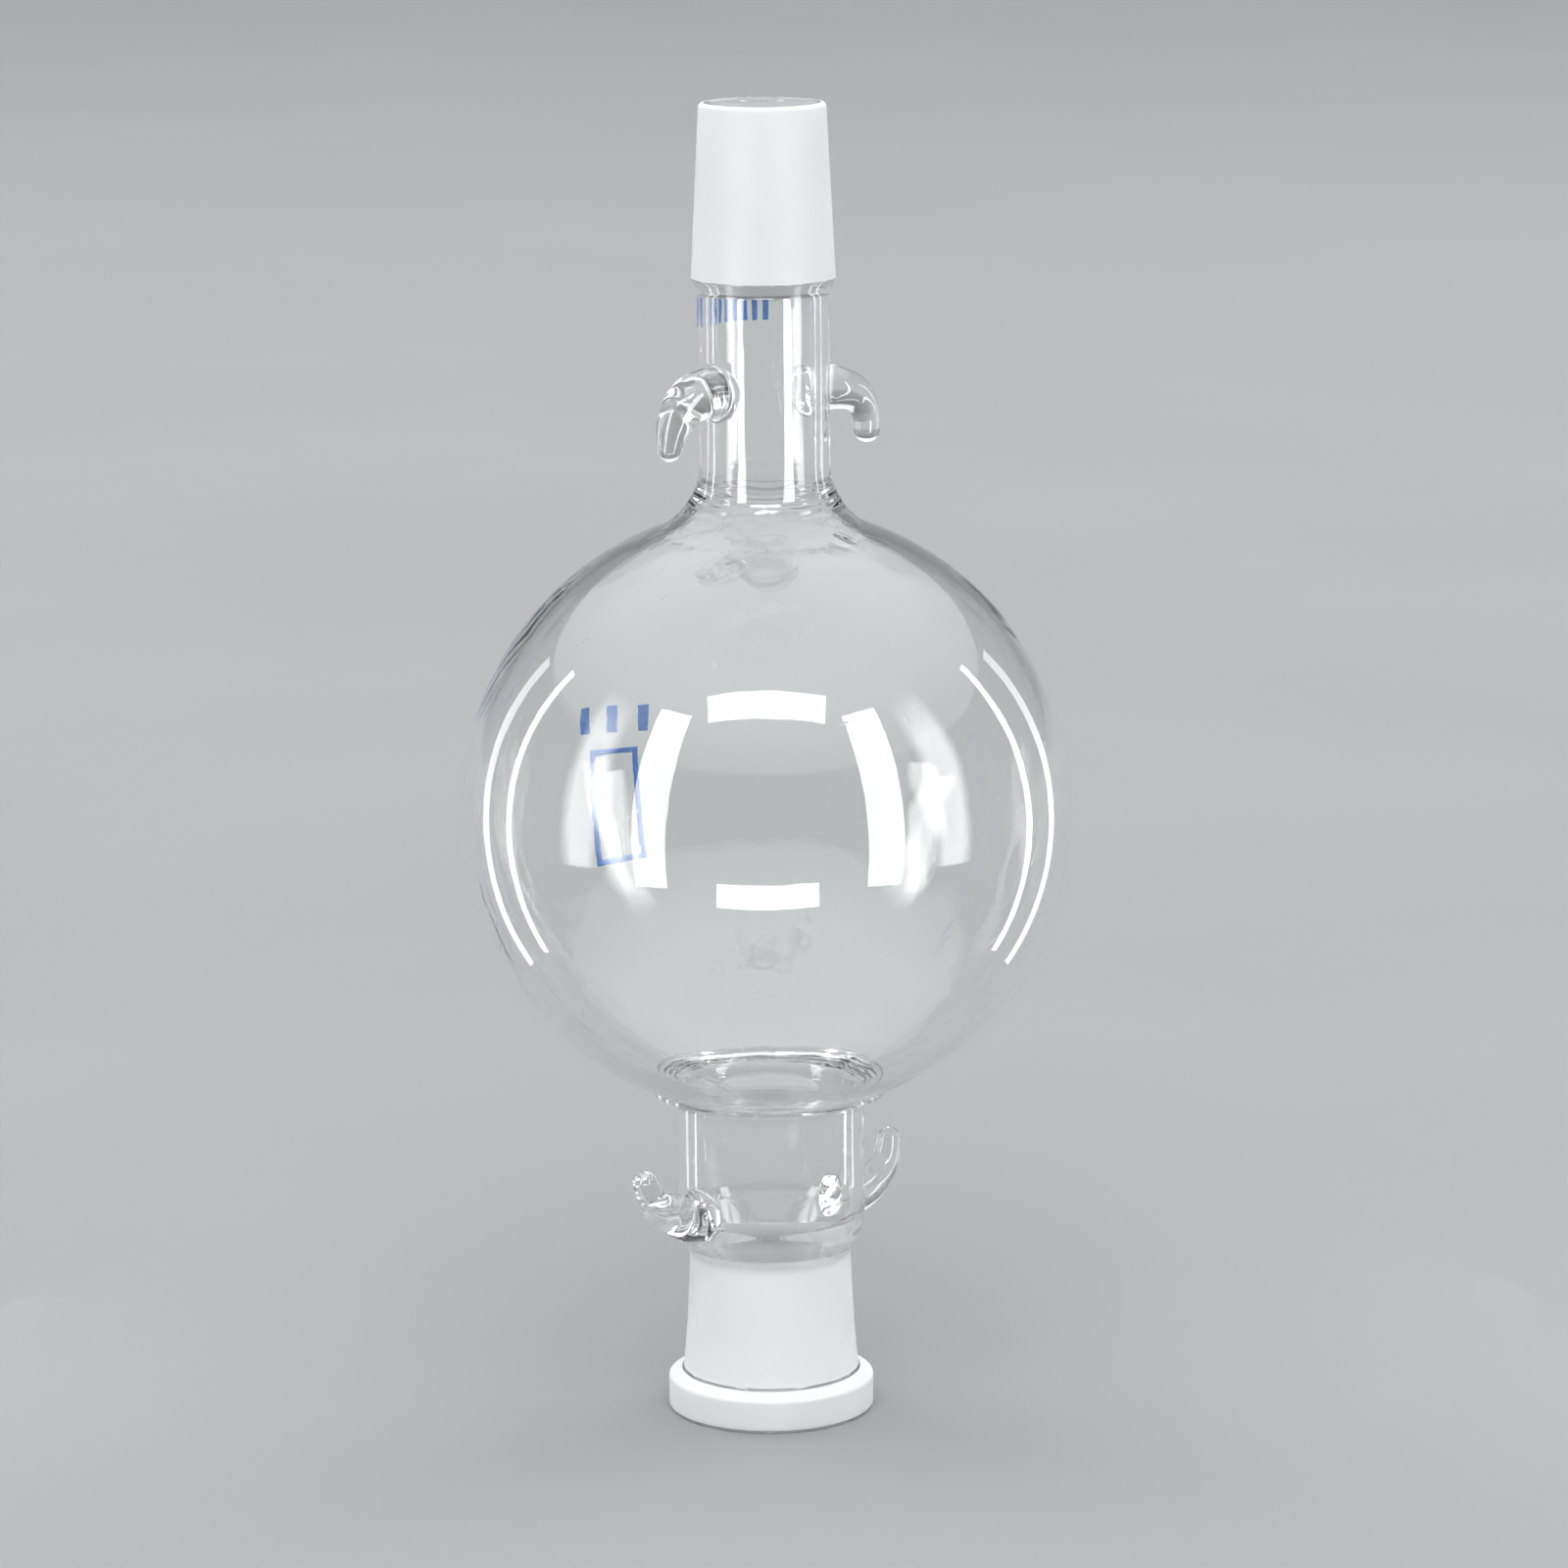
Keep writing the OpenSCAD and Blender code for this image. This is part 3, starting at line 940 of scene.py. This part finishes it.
def camera():
    """Long lens a little above the object, looking down at it by about 12 degrees."""
    data = bpy.data.cameras.new("camera")
    data.sensor_width = 36
    data.lens = CAMERA_LENS
    data.clip_end = 60
    heading = math.atan2(-CAMERA_AT.x, -CAMERA_AT.y)
    turn = Matrix.Rotation(-heading - math.radians(CAMERA_ASIDE), 4, "Z")
    pitch = Matrix.Rotation(math.radians(90 - CAMERA_DOWN), 4, "X")
    roll = Matrix.Rotation(-math.radians(CAMERA_LEAN), 4, "Z")
    shot = bpy.data.objects.new("camera", data)
    shot.matrix_world = Matrix.Translation(CAMERA_AT) @ turn @ pitch @ roll
    bpy.context.scene.collection.objects.link(shot)
    bpy.context.scene.camera = shot


# Panels near the bulb: name, degrees right of the camera and up, distance, width, height, radiance, and the
# kind of light where it isn't "glossy".
PANELS = [
    ("top_softbox", 0, 37.6, 0.6, 0.43, 0.107, 14),
    ("foot_reflector", 0, -29.2, 0.24, 0.145, 0.036, 14),
    ("left_softbox", -39, 4, 0.25, 0.054, 0.27, 14),
    ("right_softbox", 39.5, 4, 0.25, 0.058, 0.27, 14),
    ("left_side_softbox", -71, 4, 0.5, 0.17, 0.72, 11, "transmission"),
    ("right_side_softbox", 71, 4, 0.5, 0.17, 0.72, 11, "transmission"),
    ("left_edge_softbox", -97, 0, 0.16, 0.010, 0.24, 9),
    ("right_edge_softbox", 99, 0, 0.16, 0.010, 0.24, 9),
    ("left_rim_softbox", -114, 0, 0.16, 0.014, 0.22, 4),
    ("right_rim_softbox", 116, 0, 0.16, 0.014, 0.22, 4),
]


# Large panels spread evenly around the object, for the floor and the ground glass.
FILL_PANELS = 3


def soften(light_data):
    """Lets a panel's light fade out towards its edges."""
    light_data.use_nodes = True
    nodes, links = light_data.node_tree.nodes, light_data.node_tree.links
    place = nodes.new("ShaderNodeNewGeometry")
    off_centre = nodes.new("ShaderNodeVectorMath")
    off_centre.operation = "SUBTRACT"
    off_centre.inputs[1].default_value = (0.5, 0.5, 0)
    links.new(place.outputs["Parametric"], off_centre.inputs[0])
    parts = nodes.new("ShaderNodeSeparateXYZ")
    links.new(off_centre.outputs[0], parts.inputs[0])
    product = nodes.new("ShaderNodeMath")
    product.operation = "MULTIPLY"
    for number, axis in enumerate("XY"):
        distance = nodes.new("ShaderNodeMath")
        distance.operation = "ABSOLUTE"
        links.new(parts.outputs[axis], distance.inputs[0])
        fade = nodes.new("ShaderNodeMapRange")
        fade.interpolation_type = "SMOOTHSTEP"
        for socket, value in {"From Min": 0.15, "From Max": 0.5, "To Min": 1.0, "To Max": 0.0}.items():
            fade.inputs[socket].default_value = value
        links.new(distance.outputs[0], fade.inputs[0])
        links.new(fade.outputs[0], product.inputs[number])
    links.new(product.outputs[0], nodes["Emission"].inputs["Strength"])


def softbox(name, right, up, distance, width, height, radiance, seen_in="glossy"):
    """Panel light facing the bulb, placed by its angles from the camera's direction as the bulb sees it.

    It takes part in one kind of light only: clean reflections on the outside of the glass ("glossy"), what
    comes through the glass ("transmission"), or the light on matte surfaces ("diffuse").
    """
    facing = (CAMERA_AT - BULB_AT).normalized()
    side = facing.cross(Vector((0, 0, 1))).normalized() * -1
    over = side.cross(facing) * -1
    away = Matrix.Rotation(math.radians(up), 4, side * -1) @ facing
    away = Matrix.Rotation(math.radians(right), 4, over) @ away
    data = bpy.data.lights.new(name, "AREA")
    data.shape = "RECTANGLE"
    data.size, data.size_y = width, height
    data.energy = radiance * width * height * math.pi
    light = bpy.data.objects.new(name, data)
    light.location = BULB_AT + away * distance
    light.rotation_mode = "QUATERNION"
    light.rotation_quaternion = away.to_track_quat("Z", "Y")
    light.visible_camera = False
    light.visible_diffuse = seen_in == "diffuse"
    light.visible_glossy = seen_in == "glossy"
    light.visible_transmission = seen_in == "transmission"
    if seen_in == "transmission":
        soften(data)
    bpy.context.scene.collection.objects.link(light)


def world():
    """White dome, dim where it meets the paper wall and bright overhead."""
    sky = bpy.data.worlds.new("studio_air")
    sky.use_nodes = True
    tree = sky.node_tree
    background = tree.nodes["Background"]
    background.inputs["Color"].default_value = (0.97, 0.985, 1, 1)
    place = tree.nodes.new("ShaderNodeTexCoord")
    parts = tree.nodes.new("ShaderNodeSeparateXYZ")
    strength = tree.nodes.new("ShaderNodeMapRange")
    strength.interpolation_type = "SMOOTHSTEP"
    for socket, value in {"From Min": 0.25, "From Max": 0.95, "To Min": 0.6, "To Max": 2.0}.items():
        strength.inputs[socket].default_value = value
    tree.links.new(place.outputs["Generated"], parts.inputs[0])
    tree.links.new(parts.outputs["Z"], strength.inputs[0])
    tree.links.new(strength.outputs[0], background.inputs["Strength"])
    bpy.context.scene.world = sky


studio_sweep()
camera()
world()
for panel in PANELS:
    softbox(*panel)
for number in range(FILL_PANELS):
    softbox(f"fill_softbox_{number + 1}", 360 / FILL_PANELS * number, 34, 2.6, 1.5, 1.1, 3.2, "diffuse")

scene = bpy.context.scene
scene.view_settings.view_transform = "Standard"
scene.cycles.max_bounces = 48
scene.cycles.diffuse_bounces = 8
scene.cycles.transmission_bounces = 48
scene.cycles.glossy_bounces = 32
scene.cycles.transparent_max_bounces = 64
